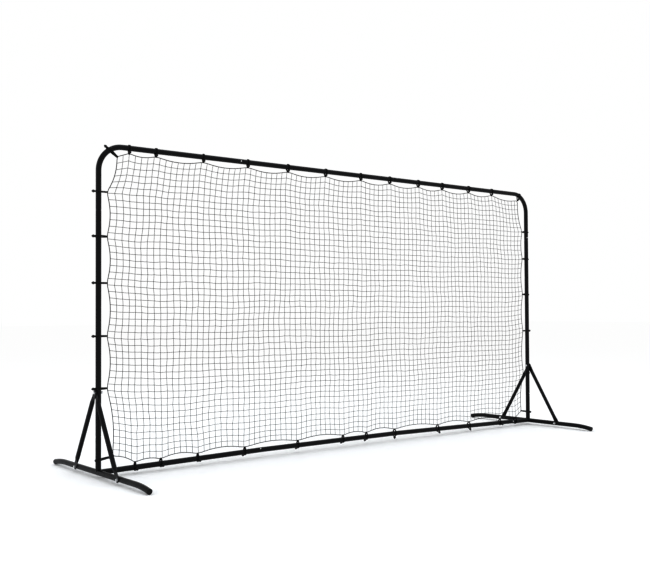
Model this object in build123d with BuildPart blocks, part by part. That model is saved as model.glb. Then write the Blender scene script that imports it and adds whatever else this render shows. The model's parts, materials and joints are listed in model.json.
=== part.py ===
from build123d import *
from math import acos, atan2, cos, pi, radians, sin, sqrt
import os

os.makedirs("parts", exist_ok=True)

# A free-standing ball rebounder. X runs along the width, +Y to the back, +Z up.
# The origin is on the ground under the middle of the frame. All sizes are in millimetres.

# ---- Overall size ----
overall_width = 3658
overall_height = 1829
foot_length = 1180

# ---- Steel tube ----
tube_r = 15
wall = 1.2
bore_r = tube_r - wall
bend_r = 140
half_width = overall_width / 2 - tube_r
top_z = overall_height - tube_r
foot_z = 30
bottom_rise = 22

# ---- Tube joints: a swaged male end inside the next tube, locked by a spring button ----
swage_clear = 0.1
male_r = bore_r - swage_clear
male_bore_r = male_r - wall
male_length = 75
neck_length = 5.5
neck_gap = 0.5
neck_root = 2
neck_step = 0.2
button_inset = 18
button_r = 4
button_fit = 0.08
button_top = tube_r + 5.5
button_flange_r = 5.6
button_flange_top = 11
button_flange = 1
button_round = 2.6
leaf_width = 10
leaf_thick = 0.8

# ---- Where the buttons sit ----
top_outer_button = 896
top_splice_button = 403
post_top_button = 1476
post_foot_button = 243
bottom_outer_button = 1615
bottom_left_button = -759
bottom_right_button = 430

# ---- Feet and struts ----
foot_end_angle = 11
plug_r = 15.6
plug_cap = 4
plug_round = 1.5
plug_shank = 14
plug_clear = 0.2
plug_wall = 2
strut_r = 12.5
strut_wall = 1.2
strut_foot_y = 268
strut_top_z = 462
tab_thick = 3
tab_width = 32
tab_back = 15
tab_front = 34
tab_taper = 30
tab_gap = 0.12
layer_gap = 0.25
weld_gap = 0.05

# ---- M8 bolts ----
bolt_r = 4
bolt_hole_r = 4.3
hex_r = 7.5
head_thick = 5.3
nut_thick = 6.8
nut_past = 3.5
washer_r = 8
washer_thick = 1.6

# ---- Net, border rope, elastic loops and balls ----
net_thick = 1
rope_r = 2
cord_r = 2.4
cord_clear = 0.3
rope_clear = 1.2
net_clear = 17
rope_sag = 22
rope_sag_r = 90
rope_bend_r = 7
full_sag = 260
shortest_sag = 100
ball_r = 8
ball_hole_r = 2.7
ball_recess_r = 5.7
ball_recess = 6.6
neck_r = 2.2
neck_depth = 8
ball_far = 30
top_rope_z = 1785
side_rope_x = 1766
bottom_rope_lift = 27
top_ties = (-1631, -1464, -1152, -836, -532, -226, 78, 344, 620, 863, 1145, 1405)
bottom_ties = (-1596, -1435, -1194, -866, -463, -90, 115, 374, 797, 1128, 1477, 1655)
left_ties = (1558, 1313, 1058, 768, 483)
right_ties = (1519, 1306, 1025, 737, 402)
corner_clear = 9
tube_clear = 3
left_corner_tie = (-1749, 1792)
left_corner_rope = (-1705, 1759)
right_corner_tie = (1728, 1803)
right_corner_rope = (1715, 1767)
low_tie_z = 97
low_rope_x = 1733
low_rope_z = 109

# ---- The bottom run is straight tubes whose joints lie on a shallow arc: the net pulls them up ----
bottom_seams = (
    -half_width,
    -bottom_outer_button - button_inset,
    bottom_left_button + button_inset,
    bottom_right_button - button_inset,
    bottom_outer_button + button_inset,
    half_width,
)


def seam_z(x):
    return foot_z + bottom_rise * (1 - (x / half_width) ** 2)


def bottom_run(x):
    """The two ends of the straight stretch of the bottom run that x lies on."""
    for low, high in zip(bottom_seams, bottom_seams[1:]):
        if x <= high:
            break
    return Vector(low, 0, seam_z(low)), Vector(high, 0, seam_z(high))


def bottom_point(x):
    """The point on the bottom run's centre line at x."""
    low, high = bottom_run(x)
    return low + (high - low) * ((x - low.X) / (high.X - low.X))


def save(piece, label):
    """Name a finished piece and write it to its own file."""
    piece.label = label
    export_step(piece, f"parts/{label}.step")
    print(f"{label:28s} {piece.volume:12.1f} mm3  {len(piece.solids())} solids")


# ---- Tube joints ----
# Each is (seam, into, faces): the end of the outer tube, the way the male end points,
# and the way its button points.
def snap(button, into, faces):
    return Vector(button) - Vector(into) * button_inset, Vector(into), Vector(faces)


def tilted(front, side, angle):
    """A direction turned by angle degrees from front towards side."""
    return Vector(front) * cos(radians(angle)) + Vector(side) * sin(radians(angle))


FRONT, BACK, UP = (0, -1, 0), (0, 1, 0), (0, 0, 1)
LEFT, RIGHT = (-1, 0, 0), (1, 0, 0)


def bottom_snap(x, end, angle):
    """A joint in the bottom run. Its male end points along the outer tube, towards end."""
    low, high = bottom_run(x)
    along = (high - low).normalized() * end
    rise = Vector(FRONT).cross(along) * end
    return bottom_point(x - end * button_inset), along, tilted(FRONT, rise, angle)


snaps = {
    "top_left": snap((-top_outer_button, 0, top_z), LEFT, FRONT),
    "top_splice": snap((top_splice_button, 0, top_z), RIGHT, tilted(FRONT, UP, 55)),
    "top_right": snap((top_outer_button, 0, top_z), RIGHT, BACK),
    "post_top_left": snap((-half_width, 0, post_top_button), UP, BACK),
    "post_top_right": snap((half_width, 0, post_top_button), UP, tilted(FRONT, LEFT, 25)),
    "post_foot_left": snap((-half_width, 0, post_foot_button), UP, BACK),
    "post_foot_right": snap((half_width, 0, post_foot_button), UP, FRONT),
    "bottom_outer_left": bottom_snap(-bottom_outer_button, 1, 180),
    "bottom_outer_right": bottom_snap(bottom_outer_button, -1, 10),
    "bottom_left": bottom_snap(bottom_left_button, -1, 35),
    "bottom_right": bottom_snap(bottom_right_button, 1, 180),
}


def button_centre(name):
    """The point on the tube's centre line under the button."""
    seam, into, _ = snaps[name]
    return seam + into * button_inset


def tube_wall(path):
    """Sweep the tube's ring section along a path."""
    with BuildSketch(Plane(origin=path @ 0, z_dir=path % 0)) as ring_section:
        Circle(tube_r)
        Circle(bore_r, mode=Mode.SUBTRACT)
    sweep(sections=ring_section.sketch, path=path)


def male_end(name):
    """Add the swaged end that the next tube slides over."""
    seam, into, faces = snaps[name]
    start = seam - into * (neck_length + neck_gap)
    reach = neck_length + neck_gap + male_length
    with BuildSketch(Plane(origin=start, x_dir=into, z_dir=into.cross(faces))) as half:
        with BuildLine():
            Polyline(
                (-neck_root, bore_r + neck_step), (-neck_root, tube_r - neck_step),
                (neck_step, tube_r - neck_step), (neck_length, male_r), (reach, male_r),
                (reach, male_bore_r), (neck_length, male_bore_r), (neck_step, bore_r + neck_step),
                close=True,
            )
        make_face()
    revolve(profiles=half.sketch, axis=Axis(start, into))


def button_hole(name):
    """Drill one wall for the button."""
    faces = snaps[name][2]
    with Locations(Plane(origin=button_centre(name), z_dir=faces)):
        upward = (Align.CENTER, Align.CENTER, Align.MIN)
        Cylinder(button_r + button_fit, 1.3 * tube_r, align=upward, mode=Mode.SUBTRACT)


def cross_hole(point):
    """Drill both walls along X for a bolt."""
    with Locations(Plane(origin=point, z_dir=RIGHT)):
        Cylinder(bolt_hole_r, 3 * tube_r, mode=Mode.SUBTRACT)


def male_start(name):
    """Where a tube's full-size wall stops before its swaged end."""
    seam, into, _ = snaps[name]
    return seam - into * (neck_length + neck_gap)


# ---- Frame tubes ----
def corner_tube(side, name):
    post_joint, top_joint = f"post_top_{name}", f"top_{name}"
    with BuildPart() as tube:
        with BuildLine() as route:
            FilletPolyline(
                snaps[post_joint][0], (side * half_width, 0, top_z), snaps[top_joint][0], radius=bend_r
            )
        tube_wall(route.wires()[0])
        button_hole(post_joint)
        button_hole(top_joint)
    save(tube.part, f"corner_tube_{name}")


def straight_tube(label, start, end, males=(), females=(), bolt_at=None):
    with BuildPart() as tube:
        with BuildLine() as route:
            Line(start, end)
        tube_wall(route.wires()[0])
        for name in males:
            male_end(name)
        for name in (*males, *females):
            button_hole(name)
        if bolt_at:
            cross_hole(bolt_at)
    save(tube.part, label)


corner_tube(-1, "left")
corner_tube(1, "right")
straight_tube(
    "top_tube_long", male_start("top_left"), male_start("top_splice"), males=("top_left", "top_splice")
)
straight_tube(
    "top_tube_short", snaps["top_splice"][0], male_start("top_right"),
    males=("top_right",), females=("top_splice",),
)
for side, name in ((-1, "left"), (1, "right")):
    straight_tube(
        f"post_{name}", snaps[f"post_foot_{name}"][0], male_start(f"post_top_{name}"),
        males=(f"post_top_{name}",), females=(f"post_foot_{name}",),
        bolt_at=(side * half_width, 0, strut_top_z),
    )
straight_tube(
    "bottom_tube_left", snaps["bottom_outer_left"][0], snaps["bottom_left"][0],
    females=("bottom_outer_left", "bottom_left"),
)
straight_tube(
    "bottom_tube_middle", male_start("bottom_left"), male_start("bottom_right"),
    males=("bottom_left", "bottom_right"),
)
straight_tube(
    "bottom_tube_right", snaps["bottom_right"][0], snaps["bottom_outer_right"][0],
    females=("bottom_right", "bottom_outer_right"),
)

# ---- Feet: a long bar whose ends curve down to the ground, with two welded stubs ----
# The end's height follows from the plug's rounded rim, which just touches the ground.
end_rad = radians(foot_end_angle)
plug_rim_z = (plug_cap - plug_round) * sin(end_rad) + (plug_r - plug_round) * cos(end_rad) + plug_round
foot_bend_r = (foot_z - plug_rim_z) / (1 - cos(end_rad))
plug_reach = plug_cap * cos(end_rad)
foot_straight = foot_length / 2 - plug_reach - foot_bend_r * sin(end_rad)


def foot_route(x):
    """The foot bar's centre line, from its front end to its back end."""
    with BuildLine(Plane(origin=(x, 0, 0), x_dir=BACK, z_dir=RIGHT)) as route:
        Line((-foot_straight, foot_z), (foot_straight, foot_z))
        JernArc((foot_straight, foot_z), (1, 0), foot_bend_r, -foot_end_angle)
        JernArc((-foot_straight, foot_z), (-1, 0), foot_bend_r, foot_end_angle)
    return route.wires()[0]


def foot_bar(x, name):
    with BuildPart() as bar:
        tube_wall(foot_route(x))
        for y in (-strut_foot_y, strut_foot_y):
            cross_hole((x, y, foot_z))
    save(bar.part, f"foot_bar_{name}")


def end_plug(x, end, name):
    """A moulded cap with a hollow shank in the tube's end."""
    direction = Vector(0, end * cos(end_rad), -sin(end_rad))
    tip = Vector(x, end * (foot_length / 2 - plug_reach), plug_rim_z)
    shank_r = bore_r - plug_clear
    with BuildPart() as plug:
        with BuildSketch(Plane(origin=tip, x_dir=direction, z_dir=RIGHT)):
            with BuildLine() as outline:
                Polyline(
                    (0, shank_r), (0, plug_r), (plug_cap, plug_r), (plug_cap, 0), (1, 0), (1, shank_r - plug_wall),
                    (-plug_shank, shank_r - plug_wall), (-plug_shank, shank_r), close=True,
                )
            make_face()
        revolve(axis=Axis(tip, direction))
        fillet(plug.faces().sort_by(Axis(tip, direction))[-1].edges(), plug_round)
    save(plug.part, f"foot_plug_{name}")


def foot_upright(side, name):
    """The welded stub that carries the post."""
    joint = f"post_foot_{name}"
    x = side * half_width
    with BuildPart() as stub:
        with BuildLine() as route:
            Line((x, 0, foot_z), male_start(joint))
        tube_wall(route.wires()[0])
        male_end(joint)
        button_hole(joint)
        with Locations(Plane(origin=(x, 0, foot_z), z_dir=BACK)):
            Cylinder(tube_r + weld_gap, 4 * tube_r, mode=Mode.SUBTRACT)
    save(stub.part, f"foot_upright_{name}")


def foot_side_stub(side, name):
    """The welded stub that carries the bottom tubes."""
    joint = f"bottom_outer_{name}"
    x = side * half_width
    end = male_start(joint)
    with BuildPart() as stub:
        with BuildLine() as route:
            Line(bottom_point(x), end)
        tube_wall(route.wires()[0])
        male_end(joint)
        button_hole(joint)
        for direction in (BACK, UP):
            with Locations(Plane(origin=(x, 0, foot_z), z_dir=direction)):
                Cylinder(tube_r + weld_gap, 4 * tube_r, mode=Mode.SUBTRACT)
    save(stub.part, f"foot_side_stub_{name}")


for side, name in ((-1, "left"), (1, "right")):
    foot_bar(side * half_width, name)
    end_plug(side * half_width, -1, f"{name}_front")
    end_plug(side * half_width, 1, f"{name}_back")
    foot_upright(side, name)
    foot_side_stub(side, name)


# ---- Struts: round tube with both ends pressed flat, on the outer side of each post ----
front_layer = tube_r + tab_gap + tab_thick / 2
back_layer = front_layer + tab_thick + layer_gap


def strut(side, end, label):
    """One diagonal brace. Its flattened ends lie against the post and the foot bar."""
    outer = Vector(side, 0, 0)
    top_layer = front_layer if end < 0 else back_layer
    top = Vector(side * (half_width + top_layer), 0, strut_top_z)
    foot = Vector(side * (half_width + front_layer), end * strut_foot_y, foot_z)
    along = (foot - top).normalized()
    length = (foot - top).length
    flat = outer - along * outer.dot(along)
    taper_end = tab_front + tab_taper
    round_size = 2 * strut_r
    hollow_r = strut_r - strut_wall
    with BuildPart() as brace:
        for start, inward in ((top, along), (foot, along * -1)):
            with BuildSketch(Plane(origin=start - flat.normalized() * tab_thick / 2, x_dir=inward, z_dir=flat)):
                with Locations(((tab_front - tab_back) / 2, 0)):
                    RectangleRounded(tab_front + tab_back, tab_width, tab_back - 1)
                with Locations((tab_front / 2 + tab_front / 4, 0)):
                    Rectangle(tab_front / 2, tab_width)
                Circle(bolt_hole_r, mode=Mode.SUBTRACT)
            extrude(amount=tab_thick)
            with BuildSketch(Plane(origin=start + inward * tab_front, x_dir=flat, z_dir=inward)):
                RectangleRounded(tab_thick, tab_width, tab_thick * 0.45)
            with BuildSketch(Plane(origin=start + inward * taper_end, x_dir=flat, z_dir=inward)):
                RectangleRounded(round_size, round_size, strut_r * 0.995)
            loft()
        with BuildSketch(Plane(origin=top + along * taper_end, z_dir=along)):
            Circle(strut_r)
        extrude(amount=length - 2 * taper_end)
        with BuildSketch(Plane(origin=top + along * taper_end, z_dir=along)):
            Circle(hollow_r)
        extrude(amount=length - 2 * taper_end, mode=Mode.SUBTRACT)
    save(brace.part, label)


strut(-1, -1, "strut_left_front")
strut(-1, 1, "strut_left_back")
strut(1, -1, "strut_right_front")
strut(1, 1, "strut_right_back")

# ---- Strut bolts, nuts and washers: each set is (point on the tube's axis, side, outer stack) ----
post_stack = back_layer + tab_thick / 2 + tab_gap
foot_stack = front_layer + tab_thick / 2 + tab_gap
bolt_sets = []
for side in (-1, 1):
    bolt_sets.append((Vector(side * half_width, 0, strut_top_z), side, post_stack))
    for y in (-strut_foot_y, strut_foot_y):
        bolt_sets.append((Vector(side * half_width, y, foot_z), side, foot_stack))

inner_face = tube_r + tab_gap
nut_face = inner_face + washer_thick
bolt_end = nut_face + nut_thick + nut_past

with BuildPart() as strut_bolts:
    for centre, side, stack in bolt_sets:
        with BuildSketch(Plane(origin=centre + Vector(side * (stack + washer_thick), 0, 0), z_dir=(side, 0, 0))):
            RegularPolygon(hex_r, 6)
        extrude(amount=head_thick)
        with BuildSketch(Plane(origin=centre - Vector(side * bolt_end, 0, 0), z_dir=(side, 0, 0))):
            Circle(bolt_r)
        extrude(amount=bolt_end + stack + washer_thick)
save(strut_bolts.part, "strut_bolts")

with BuildPart() as strut_nuts:
    for centre, side, _ in bolt_sets:
        with BuildSketch(Plane(origin=centre - Vector(side * nut_face, 0, 0), z_dir=(-side, 0, 0))):
            RegularPolygon(hex_r, 6)
            Circle(bolt_r + weld_gap, mode=Mode.SUBTRACT)
        extrude(amount=nut_thick)
save(strut_nuts.part, "strut_nuts")

with BuildPart() as strut_washers:
    for centre, side, stack in bolt_sets:
        for face in (side * stack, -side * (inner_face + washer_thick)):
            low = min(face, face + side * washer_thick)
            with BuildSketch(Plane(origin=centre + Vector(low, 0, 0), z_dir=RIGHT)):
                Circle(washer_r)
                Circle(bolt_hole_r, mode=Mode.SUBTRACT)
            extrude(amount=washer_thick)
save(strut_washers.part, "strut_washers")


# ---- Spring buttons and the bent leaf springs behind them ----
def spring_button(name):
    centre, faces = button_centre(name), snaps[name][2]
    across = snaps[name][1]
    with BuildPart() as button:
        with BuildSketch(Plane(origin=centre, x_dir=across, z_dir=across.cross(faces))):
            with BuildLine():
                Polyline(
                    (0, button_flange_top - button_flange), (button_flange_r, button_flange_top - button_flange),
                    (button_flange_r, button_flange_top), (button_r, button_flange_top),
                    (button_r, button_top), (0, button_top), close=True,
                )
            make_face()
        revolve(axis=Axis(centre, faces))
        fillet(button.faces().sort_by(Axis(centre, faces))[-1].edges(), button_round)
    save(button.part, f"button_{name}")


for name in snaps:
    spring_button(name)

leaf_top = button_flange_top - button_flange - leaf_thick / 2 - 0.1
leaf_low = -10.6
with BuildPart() as snap_springs:
    for name in snaps:
        into, faces = snaps[name][1], snaps[name][2]
        across = into.cross(faces)
        corner = button_centre(name) - across * (leaf_width / 2)
        with BuildSketch(Plane(origin=corner, x_dir=into, z_dir=across)):
            with BuildLine():
                FilletPolyline(
                    (-button_flange_r, leaf_top), (button_flange_r, leaf_top), (38, -1), (32, leaf_low + 2),
                    (-12, leaf_low), radius=2.5,
                )
            trace(line_width=leaf_thick)
        extrude(amount=leaf_width)
save(snap_springs.part, "snap_springs")

# ---- Where the elastic loops tie the border rope to the frame ----
# Each tie is (centre on the tube, rope point, ball place, room round the rope). A ball place
# is OUTSIDE, past the tube; or from 0 to 1, a share of the loop's front strand from the tube to
# the rope; or a larger number, the angle on the tube that turns from the rope towards the front.
OUTSIDE = "outside"
top_balls = (0.62,) * len(top_ties)
bottom_balls = (105, 105, 107, 225, 225, 225, 215, 180, 140, 150, 110, 100)
right_balls = (0.75, 0.75, 0.75, OUTSIDE, 0.75)
top_list = [
    (Vector(x, 0, top_z), Vector(x, 0, top_rope_z), place, rope_clear)
    for x, place in zip(top_ties, top_balls)
]
bottom_list = [
    (bottom_point(x), bottom_point(x) + Vector(UP) * bottom_rope_lift, place, rope_clear)
    for x, place in zip(bottom_ties, bottom_balls)
]
left_list = [
    (Vector(-half_width, 0, z), Vector(-side_rope_x, 0, z), OUTSIDE, rope_clear) for z in left_ties
]
right_list = [
    (Vector(half_width, 0, z), Vector(side_rope_x, 0, z), place, rope_clear)
    for z, place in zip(right_ties, right_balls)
]


def corner_tie(centre, rope_point, place):
    """A tie at a corner, from (x, z) places."""
    return Vector(centre[0], 0, centre[1]), Vector(rope_point[0], 0, rope_point[1]), place, corner_clear


left_list.insert(0, corner_tie(left_corner_tie, left_corner_rope, OUTSIDE))
left_list.append(corner_tie((-half_width, low_tie_z), (-low_rope_x, low_rope_z), 0.75))
right_list.insert(0, corner_tie(right_corner_tie, right_corner_rope, 0.65))
right_list.append(corner_tie((half_width, low_tie_z), (low_rope_x, low_rope_z), OUTSIDE))


def tie_plane(tie):
    """The plane across the tube: x towards the rope, y towards the front."""
    towards = (tie[1] - tie[0]).normalized()
    return Plane(origin=tie[0], x_dir=towards, z_dir=towards.cross(Vector(FRONT)))


def tangent_normal(first, second):
    """Direction angle of the outer tangent's normal between two (centre, radius) circles."""
    step = second[0] - first[0]
    return atan2(step.Y, step.X) - acos((first[1] - second[1]) / step.length)


def turned(angle):
    return Vector(cos(angle), sin(angle), 0)


def on_circle(circle, angle):
    """A point of a (centre, radius) circle in its plane's own coordinates."""
    point = circle[0] + turned(angle) * circle[1]
    return (point.X, point.Y)


def belt_circles(tie):
    """The circles that a loop runs round, anticlockwise from the rope."""
    tube = (Vector(0, 0, 0), tube_r + cord_r + tube_clear)
    rope = (Vector((tie[1] - tie[0]).length, 0, 0), rope_r + cord_r + tie[3])
    if tie[2] == OUTSIDE:
        return [rope, tube, (Vector(neck_depth - ball_far, 0, 0), neck_r), tube]
    return [rope, tube]


def loops(ties, label):
    """Closed elastic loops, each round the tube, round the rope and into an outside ball."""
    with BuildPart() as cords:
        for tie in ties:
            circles = belt_circles(tie)
            after = circles[1:] + circles[:1]
            normals = [tangent_normal(first, second) for first, second in zip(circles, after)]
            with BuildLine(tie_plane(tie)) as belt:
                for index, (first, second) in enumerate(zip(circles, after)):
                    leave = normals[index]
                    turn = (normals[(index + 1) % len(circles)] - leave) % (2 * pi)
                    Line(on_circle(first, leave), on_circle(second, leave))
                    ThreePointArc(*[on_circle(second, leave + turn * part) for part in (0, 0.5, 1)])
            path = belt.wires()[0]
            with BuildSketch(Plane(origin=path @ 0, z_dir=path % 0)) as cord:
                Circle(cord_r)
            sweep(sections=cord.sketch, path=path)
    save(cords.part, label)


def ball_place(tie):
    """The ball's centre, and which way its hole or recess runs, in its tie's plane."""
    if tie[2] == OUTSIDE:
        return Vector(-ball_far, 0, 0), Vector(1, 0, 0)
    rope, tube = belt_circles(tie)
    if tie[2] > 1:
        outward = turned(radians(tie[2]))
        return outward * (tube[1] + cord_r + ball_r + cord_clear), outward
    normal = turned(tangent_normal(rope, tube))
    at_rope = rope[0] + normal * rope[1]
    at_tube = normal * tube[1]
    return at_tube + (at_rope - at_tube) * tie[2], (at_rope - at_tube).normalized()


def ball_outline(place):
    """Half of a ball's section: with a recess, with a hole right through, or whole."""
    if place == OUTSIDE:
        mouth = sqrt(ball_r**2 - ball_recess_r**2)
        floor = mouth + cord_r - ball_recess
        Polyline((-ball_r, 0), (floor, 0), (floor, ball_recess_r), (mouth, ball_recess_r))
        ThreePointArc((mouth, ball_recess_r), (0, ball_r), (-ball_r, 0))
        return
    hole = ball_hole_r if place <= 1 else 0
    mouth = sqrt(ball_r**2 - hole**2)
    Line((-mouth, hole), (mouth, hole))
    ThreePointArc((mouth, hole), (0, ball_r), (-mouth, hole))


def balls(ties, label):
    """Balls: an outside one holds its loop's neck, and one on a strand is threaded on it."""
    with BuildPart() as group:
        for tie in ties:
            plane = tie_plane(tie)
            spot, along = ball_place(tie)
            centre = plane.from_local_coords((spot.X, spot.Y, 0))
            across = plane.from_local_coords((spot.X + along.X, spot.Y + along.Y, 0)) - centre
            with BuildSketch(Plane(origin=centre, x_dir=across, z_dir=plane.z_dir)) as half:
                with BuildLine():
                    ball_outline(tie[2])
                make_face()
            revolve(profiles=half.sketch, axis=Axis(centre, across))
    save(group.part, label)


for ties, name in ((top_list, "top"), (bottom_list, "bottom"), (left_list, "left"), (right_list, "right")):
    loops(ties, f"elastic_loops_{name}")
    balls(ties, f"balls_{name}")

# ---- Border rope: from tie to tie round the net, sagging inward between them ----
ring = [tie[1] for tie in top_list + right_list]
ring += [tie[1] for tie in reversed(bottom_list)]
ring += [tie[1] for tie in reversed(left_list)]
middle = Vector(0, 0, overall_height / 2)
route_points = []
route_radii = []
for here, there in zip(ring, ring[1:] + ring[:1]):
    chord = there - here
    inward = chord.cross(Vector(BACK)).normalized()
    if inward.dot(middle - here) < 0:
        inward = inward * -1
    route_points.append(here)
    route_radii.append(rope_bend_r)
    if chord.length > shortest_sag:
        route_points.append((here + there) * 0.5 + inward * rope_sag * min(1, chord.length / full_sag))
        route_radii.append(rope_sag_r)

with BuildPart() as border_rope:
    with BuildLine() as rope_route:
        FilletPolyline(*route_points, radius=route_radii, close=True)
    rope_path = rope_route.wires()[0]
    with BuildSketch(Plane(origin=rope_path @ 0, z_dir=rope_path % 0)):
        Circle(rope_r)
    sweep(path=rope_path)
save(border_rope.part, "border_rope")

# ---- Net: one thin sheet inside the border rope ----
net_plane = Plane(origin=(0, net_thick / 2, 0), x_dir=RIGHT, z_dir=FRONT)
with BuildPart() as net:
    with BuildSketch(net_plane):
        with BuildLine():
            Polyline(*[(point.X, point.Z) for point in route_points], close=True)
        make_face()
        offset(amount=-(rope_r + net_clear), kind=Kind.INTERSECTION, mode=Mode.REPLACE)
    extrude(amount=net_thick)
save(net.part, "net")
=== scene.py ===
import json
import math
import random

import bpy
from mathutils import Matrix, Vector, noise


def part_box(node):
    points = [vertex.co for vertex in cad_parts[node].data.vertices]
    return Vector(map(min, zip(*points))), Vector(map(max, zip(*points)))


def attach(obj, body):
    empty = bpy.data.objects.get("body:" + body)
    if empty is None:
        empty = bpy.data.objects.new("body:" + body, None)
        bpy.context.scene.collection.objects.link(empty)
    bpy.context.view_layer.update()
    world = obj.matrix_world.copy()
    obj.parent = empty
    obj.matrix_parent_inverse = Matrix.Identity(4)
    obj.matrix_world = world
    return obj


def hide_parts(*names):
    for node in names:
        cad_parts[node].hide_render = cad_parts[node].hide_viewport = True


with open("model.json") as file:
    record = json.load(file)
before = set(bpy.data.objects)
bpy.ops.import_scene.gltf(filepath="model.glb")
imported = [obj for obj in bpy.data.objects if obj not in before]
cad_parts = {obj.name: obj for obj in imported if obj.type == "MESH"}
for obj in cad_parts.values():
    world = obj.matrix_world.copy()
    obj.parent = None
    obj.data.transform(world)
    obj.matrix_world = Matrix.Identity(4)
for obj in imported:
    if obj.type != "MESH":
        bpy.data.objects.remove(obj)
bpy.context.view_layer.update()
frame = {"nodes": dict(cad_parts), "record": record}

# A free-standing ball rebounder. X runs along the width, +Y to the back, +Z up, in metres.
# The origin is on the ground under the middle of the frame.

# ---- Camera ----
EYE = Vector((-3.918, -4.614, 0.893))
YAW, PITCH, ROLL = 38.59, 1.368, -0.294
FOCAL_PX, PHOTO_WIDTH = 903.8, 650


def make_camera():
    data = bpy.data.cameras.new("camera")
    data.sensor_width = 36
    data.lens = data.sensor_width * FOCAL_PX / PHOTO_WIDTH
    camera = bpy.data.objects.new("camera", data)
    bpy.context.collection.objects.link(camera)
    turn = Matrix.Rotation(math.radians(-YAW), 4, "Z")
    tip = Matrix.Rotation(math.radians(90 + PITCH), 4, "X")
    lean = Matrix.Rotation(math.radians(ROLL), 4, "Z")
    camera.matrix_world = Matrix.Translation(EYE) @ turn @ tip @ lean
    bpy.context.scene.camera = camera


make_camera()

# ---- Places taken from the frame ----
post_low, post_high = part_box("post_right")
tube_r = (post_high.x - post_low.x) / 2
half_width = (post_high.x + post_low.x) / 2
top_low, top_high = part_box("top_tube_long")
top_z = (top_low.z + top_high.z) / 2

# ---- The frame's own dimensions that the soft pieces follow ----
FOOT_Z = 0.030
BOTTOM_RISE = 0.022
BOTTOM_SEAMS = (-half_width, -1.633, -0.741, 0.412, 1.633, half_width)

# ---- Rope, elastic loops and balls ----
ROPE_R = 0.002
CORD_R = 0.0024
BALL_R = 0.008
BALL_FAR = 0.03
BALL_BANDS, BALL_SIDES = 18, 20
BALL_HOLE_R = 0.0024
BALL_SEAM = 0.00018
NECK_R = 0.0022
NECK_IN = 0.006
NECK_OUT = 0.005
TURN_GAP = 1.04  # half the spacing of a tie's two turns, in cord radii
ROPE_SAG = 0.022
FULL_SAG = 0.26
SHORTEST_SAG = 0.1
TOP_ROPE_Z = 1.785
SIDE_ROPE_X = 1.766
BOTTOM_ROPE_LIFT = 0.027
LEFT_CORNER = (-1.749, 1.792), (-1.705, 1.759)
RIGHT_CORNER = (1.728, 1.803), (1.715, 1.767)
LOW_TIE_Z = 0.097
LOW_ROPE = (1.733, 0.109)
TOP_TIES = (-1.631, -1.464, -1.152, -0.836, -0.532, -0.226, 0.078, 0.344, 0.62, 0.863, 1.145, 1.405)
BOTTOM_TIES = (-1.596, -1.435, -1.194, -0.866, -0.463, -0.09, 0.115, 0.374, 0.797, 1.128, 1.477, 1.655)
LEFT_TIES = (1.558, 1.313, 1.058, 0.768, 0.483)
RIGHT_TIES = (1.519, 1.306, 1.025, 0.737, 0.402)

# ---- Net: square mesh of knotted twine ----
ROWS, COLUMNS = 46, 88
TWINE_R = 0.0012
NET_SEED = 5  # noise_vector starts from the clock without one, and the net would change each run
STEPS = 3  # short lengths between two knots
EDGE_PULL = 0.13  # how far in from an edge the rope's bows still shape the net
NET_LOW, NET_HIGH, NET_HALF = 0.075, 1.775, 1.752
ROW_BOW = Vector((0, 0, -0.0011))
COLUMN_BOW = Vector((0.0007, 0.0004, 0))
KNOT_SHAPE = 1.9, 1.35, 1.7  # twine radii across, front to back and upward

# ---- Small helpers ----
FRONT = Vector((0, -1, 0))
UP = Vector((0, 0, 1))
OUTSIDE = "outside"


def link(name, mesh, material, replaced):
    """One piece of the frame's body, standing for a CAD node."""
    piece = bpy.data.objects.new(name, mesh)
    bpy.context.collection.objects.link(piece)
    mesh.materials.append(material)
    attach(piece, "frame")
    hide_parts(replaced)
    return piece


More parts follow.
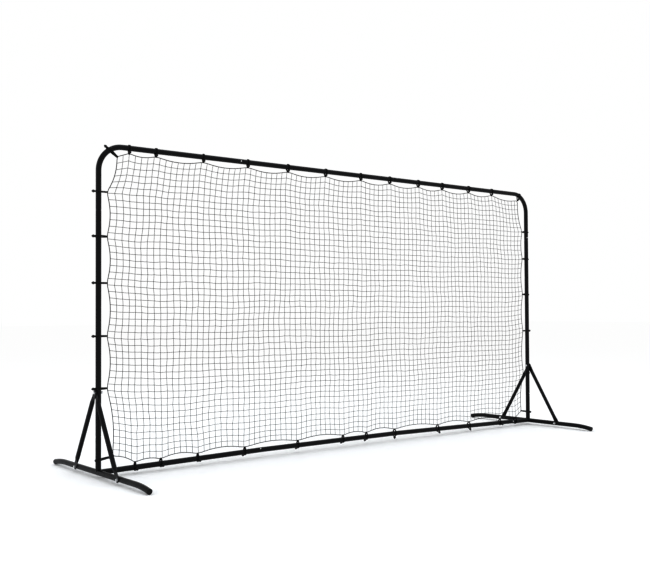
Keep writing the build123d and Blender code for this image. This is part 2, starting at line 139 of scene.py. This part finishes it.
class Skin:
    """Collects smooth faces and their braid coordinates: turns round a strand, metres along."""

    def __init__(self):
        self.points, self.faces, self.braid = [], [], []

    def tube(self, path, radius, sides, closed=False, squeeze=None):
        """A round skin along path. squeeze(k) scales the radius at point k."""
        count = len(path)
        first = len(self.points)
        side, along = None, 0.0
        lengths = []
        for k, point in enumerate(path):
            before = path[k - 1] if k or closed else point
            after = path[(k + 1) % count] if k < count - 1 or closed else point
            ahead = (after - before).normalized()
            if side is None:
                side = ahead.orthogonal().normalized()
            side = (side - ahead * side.dot(ahead)).normalized()
            up = ahead.cross(side)
            size = radius * (squeeze(k) if squeeze else 1)
            for j in range(sides):
                angle = 2 * math.pi * j / sides
                self.points.append(point + (side * math.cos(angle) + up * math.sin(angle)) * size)
            if k:
                along += (point - path[k - 1]).length
            lengths.append(along)
        lengths.append(along + (path[0] - path[-1]).length)
        twist = self.best_twist(first, first + (count - 1) * sides, sides) if closed else 0
        for k in range(count if closed else count - 1):
            last = closed and k == count - 1
            here, there = first + k * sides, first if last else first + (k + 1) * sides
            shift = twist if last else 0
            for j in range(sides):
                a, b = here + j, here + (j + 1) % sides
                c, d = there + (j + 1 + shift) % sides, there + (j + shift) % sides
                self.faces.append((a, b, c, d))
                low, high = j / sides, (j + 1) / sides
                start, end = lengths[k], lengths[k + 1]
                self.braid += [(low, start), (high, start), (high, end), (low, end)]
        if not closed:
            for ring, flip in ((first, True), (first + (count - 1) * sides, False)):
                cap = [ring + j for j in range(sides)]
                self.faces.append(tuple(reversed(cap)) if flip else tuple(cap))
                self.braid += [(0, 0)] * sides

    def best_twist(self, first, last, sides):
        """How far to turn the last ring so that it meets the first one square."""
        gaps = [(self.points[first + j] - self.points[last]).length for j in range(sides)]
        return gaps.index(min(gaps))

    def lump(self, centre, axes, bands, sides):
        """A smooth lump whose three half-axes are axes."""
        first = len(self.points)
        self.points.append(centre + axes[2])
        for i in range(1, bands):
            lift, reach = math.cos(math.pi * i / bands), math.sin(math.pi * i / bands)
            for j in range(sides):
                angle = 2 * math.pi * j / sides
                ring = axes[0] * math.cos(angle) + axes[1] * math.sin(angle)
                self.points.append(centre + axes[2] * lift + ring * reach)
        self.points.append(centre - axes[2])
        bottom = len(self.points) - 1
        for j in range(sides):
            k = (j + 1) % sides
            self.faces.append((first, first + 1 + j, first + 1 + k))
            end = bottom - sides
            self.faces.append((bottom, end + k, end + j))
            self.braid += [(0, 0)] * 6
            for i in range(bands - 2):
                here = first + 1 + i * sides
                self.faces.append((here + j, here + sides + j, here + sides + k, here + k))
                self.braid += [(0, 0)] * 4

    def mesh(self, name):
        mesh = bpy.data.meshes.new(name)
        mesh.from_pydata(self.points, [], self.faces)
        layer = mesh.uv_layers.new(name="braid")
        for loop, place in zip(layer.data, self.braid):
            loop.uv = place
        mesh.shade_smooth()
        return mesh


# ---- Materials ----
def new_material(name):
    material = bpy.data.materials.new(name)
    material.use_nodes = True
    nodes = material.node_tree.nodes
    nodes.clear()
    shader = nodes.new("ShaderNodeBsdfPrincipled")
    output = nodes.new("ShaderNodeOutputMaterial")
    material.node_tree.links.new(shader.outputs[0], output.inputs[0])
    return material, material.node_tree, shader


def add(tree, kind, **values):
    """A node with its sockets set by name, or linked when the value is a socket."""
    node = tree.nodes.new(kind)
    for name, value in values.items():
        socket = node.inputs[name.replace("_", " ")]
        if isinstance(value, bpy.types.NodeSocket):
            tree.links.new(value, socket)
        else:
            socket.default_value = value
    return node


def grain(tree, scale, detail, rough=0.5, stretch=(1, 1, 1)):
    """Noise in the piece's own coordinates."""
    place = tree.nodes.new("ShaderNodeTexCoord").outputs["Object"]
    moved = add(tree, "ShaderNodeMapping", Vector=place, Scale=stretch).outputs[0]
    return add(tree, "ShaderNodeTexNoise", Vector=moved, Scale=scale, Detail=detail, Roughness=rough)


def ramp(tree, fac, stops):
    """A colour ramp of (place, grey or colour) stops."""
    node = tree.nodes.new("ShaderNodeValToRGB")
    tree.links.new(fac, node.inputs[0])
    while len(node.color_ramp.elements) < len(stops):
        node.color_ramp.elements.new(0.5)
    for element, (place, colour) in zip(node.color_ramp.elements, stops):
        element.position = place
        element.color = (*colour, 1) if hasattr(colour, "__len__") else (colour, colour, colour, 1)
    return node.outputs[0]


def bump(tree, shader, height, strength, distance, under=None):
    node = add(tree, "ShaderNodeBump", Strength=strength, Distance=distance, Height=height)
    if under:
        tree.links.new(under, node.inputs["Normal"])
    tree.links.new(node.outputs[0], shader.inputs["Normal"])
    return node.outputs[0]


def powder_coat():
    material, tree, shader = new_material("black_powder_coat")
    dust = grain(tree, 7, 6, 0.65).outputs[0]
    shades = [(0.35, (0.005, 0.0054, 0.0064)), (0.62, (0.009, 0.0096, 0.011)), (0.8, (0.019, 0.02, 0.023))]
    tree.links.new(ramp(tree, dust, shades), shader.inputs["Base Color"])
    rubbed = grain(tree, 40, 4, 0.6, (1, 1, 0.4)).outputs[0]
    tree.links.new(ramp(tree, rubbed, [(0.3, 0.27), (0.7, 0.42)]), shader.inputs["Roughness"])
    shader.inputs["Specular IOR Level"].default_value = 0.3
    peel = bump(tree, shader, grain(tree, 420, 2).outputs[0], 0.12, 0.0004)
    bump(tree, shader, grain(tree, 60, 3).outputs[0], 0.05, 0.001, peel)
    return material


def bright_metal(name, colour, rough_low, rough_high, stretch):
    material, tree, shader = new_material(name)
    shader.inputs["Metallic"].default_value = 1
    stain = grain(tree, 160, 5, 0.6).outputs[0]
    darker = tuple(c * 0.72 for c in colour)
    tree.links.new(ramp(tree, stain, [(0.3, darker), (0.6, colour)]), shader.inputs["Base Color"])
    brushed = grain(tree, 1500, 3, 0.5, stretch).outputs[0]
    tree.links.new(ramp(tree, brushed, [(0.3, rough_low), (0.7, rough_high)]), shader.inputs["Roughness"])
    bump(tree, shader, brushed, 0.15, 0.0002)
    return material


def moulded(name, grey, rough_low, rough_high, pebble):
    material, tree, shader = new_material(name)
    cloud = grain(tree, 55, 4).outputs[0]
    tree.links.new(ramp(tree, cloud, [(0.3, grey * 0.7), (0.7, grey * 1.5)]), shader.inputs["Base Color"])
    tree.links.new(ramp(tree, cloud, [(0.3, rough_low), (0.7, rough_high)]), shader.inputs["Roughness"])
    bump(tree, shader, grain(tree, pebble, 2).outputs[0], 0.18, 0.0003)
    return material


def braided(name, grey, turns, pitch, depth):
    """Cord of turns strands that cross every pitch metres, from the braid coordinates. Its colour follows
    the weave: painted shade in the grooves between strands, painted light on the raised strands.
    """
    material, tree, shader = new_material(name)
    uv = tree.nodes.new("ShaderNodeUVMap")
    uv.uv_map = "braid"
    waves = []
    for lean in (turns, -turns):
        slanted = add(tree, "ShaderNodeVectorMath", Vector=uv.outputs[0])
        slanted.operation = "DOT_PRODUCT"
        slanted.inputs[1].default_value = (lean, 1 / pitch, 0)
        angle = add(tree, "ShaderNodeMath")
        angle.operation = "MULTIPLY"
        tree.links.new(slanted.outputs["Value"], angle.inputs[0])
        angle.inputs[1].default_value = 2 * math.pi
        wave = add(tree, "ShaderNodeMath")
        wave.operation = "SINE"
        tree.links.new(angle.outputs[0], wave.inputs[0])
        waves.append(wave.outputs[0])
    weave_and_painted_shade = add(tree, "ShaderNodeMath")
    weave_and_painted_shade.operation = "MAXIMUM"
    for socket, wave in zip(weave_and_painted_shade.inputs, waves):
        tree.links.new(wave, socket)
    fuzz = grain(tree, 900, 4, 0.7).outputs[0]
    # Painted shade and light: the cord is darker where the weave is low, in the grooves between strands, and
    # lighter on the raised strands.
    shades = [(0.1, grey * 0.35), (0.9, grey * 1.5)]
    tree.links.new(ramp(tree, weave_and_painted_shade.outputs[0], shades), shader.inputs["Base Color"])
    tree.links.new(ramp(tree, fuzz, [(0.3, 0.62), (0.7, 0.88)]), shader.inputs["Roughness"])
    shader.inputs["Sheen Weight"].default_value = 0.15
    shader.inputs["Specular IOR Level"].default_value = 0.3
    under = bump(tree, shader, weave_and_painted_shade.outputs[0], 0.8, depth)
    bump(tree, shader, fuzz, 0.3, depth * 0.4, under)
    return material


coat = powder_coat()
zinc = bright_metal("bright_zinc", (0.86, 0.87, 0.88), 0.16, 0.34, (1, 1, 0.1))
nickel = bright_metal("button_nickel", (0.92, 0.92, 0.93), 0.1, 0.24, (1, 1, 1))
spring = bright_metal("spring_steel", (0.42, 0.42, 0.41), 0.3, 0.5, (0.1, 1, 1))
plug = moulded("plug_plastic", 0.006, 0.45, 0.62, 500)
ball_skin = moulded("ball_plastic", 0.006, 0.22, 0.4, 260)
twine = braided("net_twine", 0.004, 2, 0.004, 0.0003)
rope_skin = braided("border_rope", 0.005, 4, 0.006, 0.0005)
elastic = braided("elastic_cord", 0.005, 8, 0.005, 0.0004)

FINISHES = {
    "black_powder_coat": coat,
    "zinc_steel": zinc,
    "button_steel": nickel,
    "spring_steel": spring,
    "plug_plastic": plug,
    "ball_plastic": ball_skin,
    "net_twine": twine,
    "border_rope": rope_skin,
    "elastic_cord": elastic,
}


def finish_cad():
    """Every CAD node takes the finish of its own slot."""
    for row in frame["record"]["subparts"]:
        node = frame["nodes"][row["node"]]
        node.data.materials.clear()
        node.data.materials.append(FINISHES[row["material_slot"]])


finish_cad()


# ---- Ties: (centre on the tube, rope point, ball place) ----
def bar_z(x):
    """Height of the bottom run, which is straight between its joints."""
    for low, high in zip(BOTTOM_SEAMS, BOTTOM_SEAMS[1:]):
        if x <= high:
            break
    ends = [FOOT_Z + BOTTOM_RISE * (1 - (s / half_width) ** 2) for s in (low, high)]
    return ends[0] + (ends[1] - ends[0]) * (x - low) / (high - low)


# A ball's place is OUTSIDE, past the tube; or from 0 to 1, a share of the loop's front strand
# from the tube to the rope; or a larger number, the angle from the rope towards the front.
TOP_BALLS = (0.62,) * len(TOP_TIES)
BOTTOM_BALLS = (105, 105, 107, 225, 225, 225, 215, 180, 140, 150, 110, 100)
RIGHT_BALLS = (0.75, 0.75, 0.75, OUTSIDE, 0.75)


def corner_tie(centre, rope_point, place):
    return Vector((centre[0], 0, centre[1])), Vector((rope_point[0], 0, rope_point[1])), place


def make_ties():
    lift = UP * BOTTOM_ROPE_LIFT
    low_x, low_z = LOW_ROPE
    top = [(Vector((x, 0, top_z)), Vector((x, 0, TOP_ROPE_Z)), a) for x, a in zip(TOP_TIES, TOP_BALLS)]
    bars = [Vector((x, 0, bar_z(x))) for x in BOTTOM_TIES]
    bottom = [(bar, bar + lift, a) for bar, a in zip(bars, BOTTOM_BALLS)]
    left = [(Vector((-half_width, 0, z)), Vector((-SIDE_ROPE_X, 0, z)), OUTSIDE) for z in LEFT_TIES]
    right = [
        (Vector((half_width, 0, z)), Vector((SIDE_ROPE_X, 0, z)), a) for z, a in zip(RIGHT_TIES, RIGHT_BALLS)
    ]
    left.insert(0, corner_tie(*LEFT_CORNER, OUTSIDE))
    left.append(corner_tie((-half_width, LOW_TIE_Z), (-low_x, low_z), 0.75))
    right.insert(0, corner_tie(*RIGHT_CORNER, 0.65))
    right.append(corner_tie((half_width, LOW_TIE_Z), (low_x, low_z), OUTSIDE))
    return {"top": top, "bottom": bottom, "left": left, "right": right}


TIES = make_ties()


# ---- Border rope ----
def rope_edges():
    """The rope's tie points along each edge, corner to corner, left to right and bottom to top."""
    points = {name: [tie[1] for tie in rows] for name, rows in TIES.items()}
    low_left, low_right = points["left"][-1], points["right"][-1]
    return {
        "top": [points["left"][0], *points["top"], points["right"][0]],
        "bottom": [low_left, *points["bottom"], low_right],
        "left": list(reversed(points["left"])),
        "right": list(reversed(points["right"])),
    }


INWARD = {"top": -UP, "bottom": UP, "left": Vector((1, 0, 0)), "right": Vector((-1, 0, 0))}
SPAN_STEPS = 14


def scalloped(name):
    """The rope along one edge: it bows inward between its ties."""
    line = []
    stops = EDGES[name]
    for here, there in zip(stops, stops[1:]):
        chord = there - here
        across = chord.cross(Vector((0, 1, 0))).normalized()
        if across.dot(INWARD[name]) < 0:
            across = -across
        sag = ROPE_SAG * min(1, chord.length / FULL_SAG) if chord.length > SHORTEST_SAG else 0
        for k in range(SPAN_STEPS):
            t = k / SPAN_STEPS
            line.append(here + chord * t + across * sag * 4 * t * (1 - t))
    line.append(stops[-1])
    return line


EDGES = rope_edges()
CURVES = {name: scalloped(name) for name in EDGES}


def make_rope():
    ring = CURVES["top"][:-1]
    ring += list(reversed(CURVES["right"]))[:-1]
    ring += list(reversed(CURVES["bottom"]))[:-1]
    ring += CURVES["left"][:-1]
    for _ in range(2):
        count = len(ring)
        ring = [(ring[k - 1] + ring[k] * 2 + ring[(k + 1) % count]) / 4 for k in range(count)]
    skin = Skin()
    skin.tube(ring, ROPE_R, 10, closed=True)
    link("border_rope_braid", skin.mesh("border_rope_braid"), rope_skin, "border_rope")


make_rope()


# ---- Net ----
def at_share(line, share):
    """The point at a share of the line's span from end to end, by how far along it runs."""
    lengths = [0.0]
    for a, b in zip(line, line[1:]):
        lengths.append(lengths[-1] + (b - a).length)
    target = share * lengths[-1]
    for k in range(len(line) - 1):
        if lengths[k + 1] >= target:
            step = lengths[k + 1] - lengths[k]
            return line[k].lerp(line[k + 1], (target - lengths[k]) / step)
    return line[-1].copy()


def net_nodes():
    """The knots' places. The edge knots sit on the rope, and its bows fade out inside the net."""
    wide, tall = 2 * NET_HALF, NET_HIGH - NET_LOW
    base = {
        "bottom": lambda u: Vector((-NET_HALF + wide * u, 0, NET_LOW)),
        "top": lambda u: Vector((-NET_HALF + wide * u, 0, NET_HIGH)),
        "left": lambda v: Vector((-NET_HALF, 0, NET_LOW + tall * v)),
        "right": lambda v: Vector((NET_HALF, 0, NET_LOW + tall * v)),
    }
    along = {"top": COLUMNS, "bottom": COLUMNS, "left": ROWS, "right": ROWS}
    pull = {
        name: [at_share(CURVES[name], k / count) - base[name](k / count) for k in range(count + 1)]
        for name, count in along.items()
    }
    grid = []
    for j in range(ROWS + 1):
        v = j / ROWS
        row = []
        fade_low, fade_high = math.exp(-v * tall / EDGE_PULL), math.exp(-(1 - v) * tall / EDGE_PULL)
        for i in range(COLUMNS + 1):
            u = i / COLUMNS
            fade_left, fade_right = math.exp(-u * wide / EDGE_PULL), math.exp(-(1 - u) * wide / EDGE_PULL)
            point = Vector((-NET_HALF + wide * u, 0, NET_LOW + tall * v))
            point += pull["bottom"][i] * fade_low + pull["top"][i] * fade_high
            point += pull["left"][j] * fade_left + pull["right"][j] * fade_right
            for fade_side, side_name in ((fade_left, "left"), (fade_right, "right")):
                point -= pull[side_name][0] * fade_side * fade_low
                point -= pull[side_name][-1] * fade_side * fade_high
            row.append(point + slack(point, u, v))
        grid.append(row)
    return grid


# Waves of slack in the net: (waves per metre, shift, size), from broad sags to single knots.
SLACK_WAVES = (
    (3.1, Vector((0, 0, 0)), 0.011),
    (13, Vector((7, 0, 3)), 0.0045),
    (71, Vector((1, 5, 0)), 0.0022),
)


def slack(point, u, v):
    """How the loose net wanders from its even grid, which is nothing at its edges."""
    free = min(1, 18 * min(u, 1 - u), 9 * min(v, 1 - v))
    wander = Vector()
    for rate, shift, size in SLACK_WAVES:
        wander += noise.noise_vector(point * rate + shift) * size
    return Vector((wander.x, wander.y * 0.8, wander.z)) * free


def strand(points, lean):
    """A strand through its knots, slack between them, so it bows by lean."""
    line = []
    for k, (here, there) in enumerate(zip(points, points[1:])):
        bow = lean * (0.6 + 0.8 * noise.noise(here * 40)) if 0 < k < len(points) - 2 else Vector()
        for s in range(STEPS):
            t = s / STEPS
            line.append(here + (there - here) * t + bow * 4 * t * (1 - t))
    line.append(points[-1])
    return line


def make_net():
    noise.seed_set(NET_SEED)
    grid = net_nodes()
    rows, columns, knots = Skin(), Skin(), Skin()
    for row in grid[1:-1]:
        rows.tube(strand(row, ROW_BOW), TWINE_R, 6)
    for i in range(1, COLUMNS):
        column = [row[i] for row in grid]
        columns.tube(strand(column, COLUMN_BOW), TWINE_R, 6)
    for j in range(1, ROWS):
        for i in range(1, COLUMNS):
            across = (grid[j][i + 1] - grid[j][i - 1]).normalized()
            upward = (grid[j + 1][i] - grid[j - 1][i]).normalized()
            size = TWINE_R * (1 + 0.15 * noise.noise(grid[j][i] * 90))
            wide, deep, tall = KNOT_SHAPE
            axes = (across * wide * size, Vector((0, deep, 0)) * size, upward * tall * size)
            knots.lump(grid[j][i], axes, 4, 6)
    for name, skin in (("net_rows", rows), ("net_columns", columns), ("net_knots", knots)):
        link(name, skin.mesh(name), twine, "net")


make_net()


# ---- Elastic loops and balls ----
def turned(angle):
    return Vector((math.cos(angle), math.sin(angle), 0))


def tangent_normal(first, second):
    """Direction angle of the outer tangent's normal between two (centre, radius) circles."""
    step = second[0] - first[0]
    return math.atan2(step.y, step.x) - math.acos((first[1] - second[1]) / step.length)


def tie_axes(tie):
    """The tie's own axes: towards the rope, towards the front, along the tube."""
    towards = (tie[1] - tie[0]).normalized()
    return towards, FRONT, towards.cross(FRONT)


def belt_circles(tie):
    """The circles that a loop runs round, anticlockwise from the rope."""
    tube = (Vector((0, 0, 0)), tube_r + CORD_R)
    rope = (Vector(((tie[1] - tie[0]).length, 0, 0)), ROPE_R + CORD_R)
    if tie[2] == OUTSIDE:
        return [rope, tube, (Vector((NECK_IN - BALL_FAR, 0, 0)), NECK_R), tube]
    if tie[2] <= 1:
        return [rope, tube]
    neck = (turned(math.radians(tie[2])) * (tube_r + CORD_R + NECK_OUT), NECK_R)
    arrive = tangent_normal(rope, tube) % (2 * math.pi)
    leave = tangent_normal(tube, neck) % (2 * math.pi)
    return [rope, tube, neck, tube] if leave > arrive else [rope, neck, tube]


def belt(tie, lean, aside):
    """The path of one of a tie's two elastic turns, aside along the tube, which lean with it."""
    circles = belt_circles(tie)
    after = circles[1:] + circles[:1]
    normals = [tangent_normal(a, b) for a, b in zip(circles, after)]
    path = []
    for index, (first, second) in enumerate(zip(circles, after)):
        leave = normals[index]
        turn = (normals[(index + 1) % len(circles)] - leave) % (2 * math.pi)
        run = (second[0] + turned(leave) * second[1]) - (first[0] + turned(leave) * first[1])
        start = first[0] + turned(leave) * first[1]
        for k in range(1, 5):
            path.append(start + run * k / 5)
        bends = max(3, int(turn / 0.3))
        for k in range(bends + 1):
            path.append(second[0] + turned(leave + turn * k / bends) * second[1])
    axes = tie_axes(tie)
    return [tie[0] + axes[0] * p.x + axes[1] * p.y + axes[2] * (lean * p.y + aside) for p in path]


def ball_place(tie):
    """The ball's centre and the way that its hole runs, in the tie's plane."""
    if tie[2] == OUTSIDE:
        return Vector((-BALL_FAR, 0, 0)), Vector((-1, 0, 0))
    rope, tube = belt_circles(tie)[0], (Vector((0, 0, 0)), tube_r + CORD_R)
    if tie[2] > 1:
        outward = turned(math.radians(tie[2]))
        return outward * (tube[1] + CORD_R + BALL_R), outward
    normal = turned(tangent_normal(rope, tube))
    at_rope, at_tube = rope[0] + normal * rope[1], normal * tube[1]
    return at_tube.lerp(at_rope, tie[2]), (at_rope - at_tube).normalized()


def make_ball(skin, centre, outward):
    """A moulded ball with a seam and a dimple at each end of its hole."""
    side = outward.orthogonal().normalized()
    up = outward.cross(side)
    bands, sides = BALL_BANDS, BALL_SIDES
    profile = []
    for k in range(bands + 1):
        angle = math.pi * k / bands
        lift, reach = math.cos(angle) * BALL_R, math.sin(angle) * BALL_R
        if reach < BALL_HOLE_R:
            lift = math.copysign(BALL_R * 0.93, lift)
        seam = BALL_SEAM if k == bands // 2 else 0
        profile.append((lift, max(reach, BALL_HOLE_R * 0.5) + seam))
    first = len(skin.points)
    for lift, reach in profile:
        for j in range(sides):
            angle = 2 * math.pi * j / sides
            ring = (side * math.cos(angle) + up * math.sin(angle)) * reach
            skin.points.append(centre + outward * lift + ring)
    for k in range(bands):
        for j in range(sides):
            a, b = first + k * sides + j, first + k * sides + (j + 1) % sides
            skin.faces.append((a, a + sides, b + sides, b))
            skin.braid += [(0, 0)] * 4
    for ring, flip in ((first, False), (first + bands * sides, True)):
        cap = [ring + j for j in range(sides)]
        skin.faces.append(tuple(reversed(cap)) if flip else tuple(cap))
        skin.braid += [(0, 0)] * sides


def make_knot(skin, centre, outward):
    """The cord's knotted ends on the ball's outer side."""
    side = outward.orthogonal().normalized()
    up = outward.cross(side)
    place = centre + outward * (BALL_R * 0.95)
    skin.lump(place, (side * 0.0036, up * 0.0027, outward * 0.0028), 6, 10)
    skin.lump(place + side * 0.0016, (side * 0.0022, up * 0.0031, outward * 0.0034), 6, 10)


def make_loops():
    dice = random.Random(12)
    for name, ties in TIES.items():
        cords, balls = Skin(), Skin()
        for tie in ties:
            lean = dice.uniform(0.05, 0.16) * dice.choice((-1, 1))
            for aside in (-TURN_GAP * CORD_R, TURN_GAP * CORD_R):
                cords.tube(belt(tie, lean, aside), CORD_R, 10, closed=True)
            spot, out = ball_place(tie)
            axes = tie_axes(tie)
            centre = tie[0] + axes[0] * spot.x + axes[1] * spot.y
            outward = axes[0] * out.x + axes[1] * out.y
            make_ball(balls, centre, outward)
            make_knot(cords, centre, outward)
        loops_name, balls_name = f"elastic_cords_{name}", f"moulded_balls_{name}"
        link(loops_name, cords.mesh(loops_name), elastic, f"elastic_loops_{name}")
        link(balls_name, balls.mesh(balls_name), ball_skin, f"balls_{name}")


make_loops()


# ---- Stage and light ----
FLOOR_GREY, FLOOR_REACH = 0.99, 60
FLOOR_DROP = 0.0005  # keeps the floor's face clear of the plugs' faces


def plain(name, colour, roughness):
    material, _, shader = new_material(name)
    shader.inputs["Base Color"].default_value = (*colour, 1)
    shader.inputs["Roughness"].default_value = roughness
    shader.inputs["Specular IOR Level"].default_value = 0
    return material


def make_stage():
    mesh = bpy.data.meshes.new("floor")
    reach = FLOOR_REACH
    corners = [(-reach, -reach, 0), (reach, -reach, 0), (reach, reach, 0), (-reach, reach, 0)]
    mesh.from_pydata(corners, [], [(0, 1, 2, 3)])
    floor = bpy.data.objects.new("floor", mesh)
    bpy.context.collection.objects.link(floor)
    floor.location.z = -FLOOR_DROP
    mesh.materials.append(plain("floor", (FLOOR_GREY,) * 3, 0.8))


def area_light(name, place, target, size, watts, colour):
    data = bpy.data.lights.new(name, "AREA")
    data.shape = "RECTANGLE"
    data.size, data.size_y = size
    data.energy = watts
    data.color = colour
    light = bpy.data.objects.new(name, data)
    bpy.context.collection.objects.link(light)
    light.location = place
    light.rotation_euler = (Vector(target) - Vector(place)).to_track_quat("-Z", "Y").to_euler()


# A tone curve over the whole picture: under 1 it darkens the net's thin strands and the tubes.
# It isn't part of any material, so at 1 both look paler.
VIEW_GAMMA = 0.62
# Each light: (place, target, size, watts, colour).
LIGHTS = {
    "key": ((-6, 1.5, 3.2), (-1.8, 0, 1.0), (2.5, 2.5), 30, (0.8, 0.9, 1)),
    "top": ((0.5, -1.0, 6.5), (0, 0, 1), (7, 3), 60, (0.75, 0.88, 1)),
}


def make_light():
    world = bpy.data.worlds.new("studio")
    world.use_nodes = True
    world.node_tree.nodes["Background"].inputs["Color"].default_value = (1, 1, 1, 1)
    world.node_tree.nodes["Background"].inputs["Strength"].default_value = 1.0
    bpy.context.scene.world = world
    view = bpy.context.scene.view_settings
    view.view_transform = "Standard"
    view.gamma = VIEW_GAMMA
    for name, (place, target, size, watts, colour) in LIGHTS.items():
        area_light(name, place, target, size, watts, colour)


make_stage()
make_light()
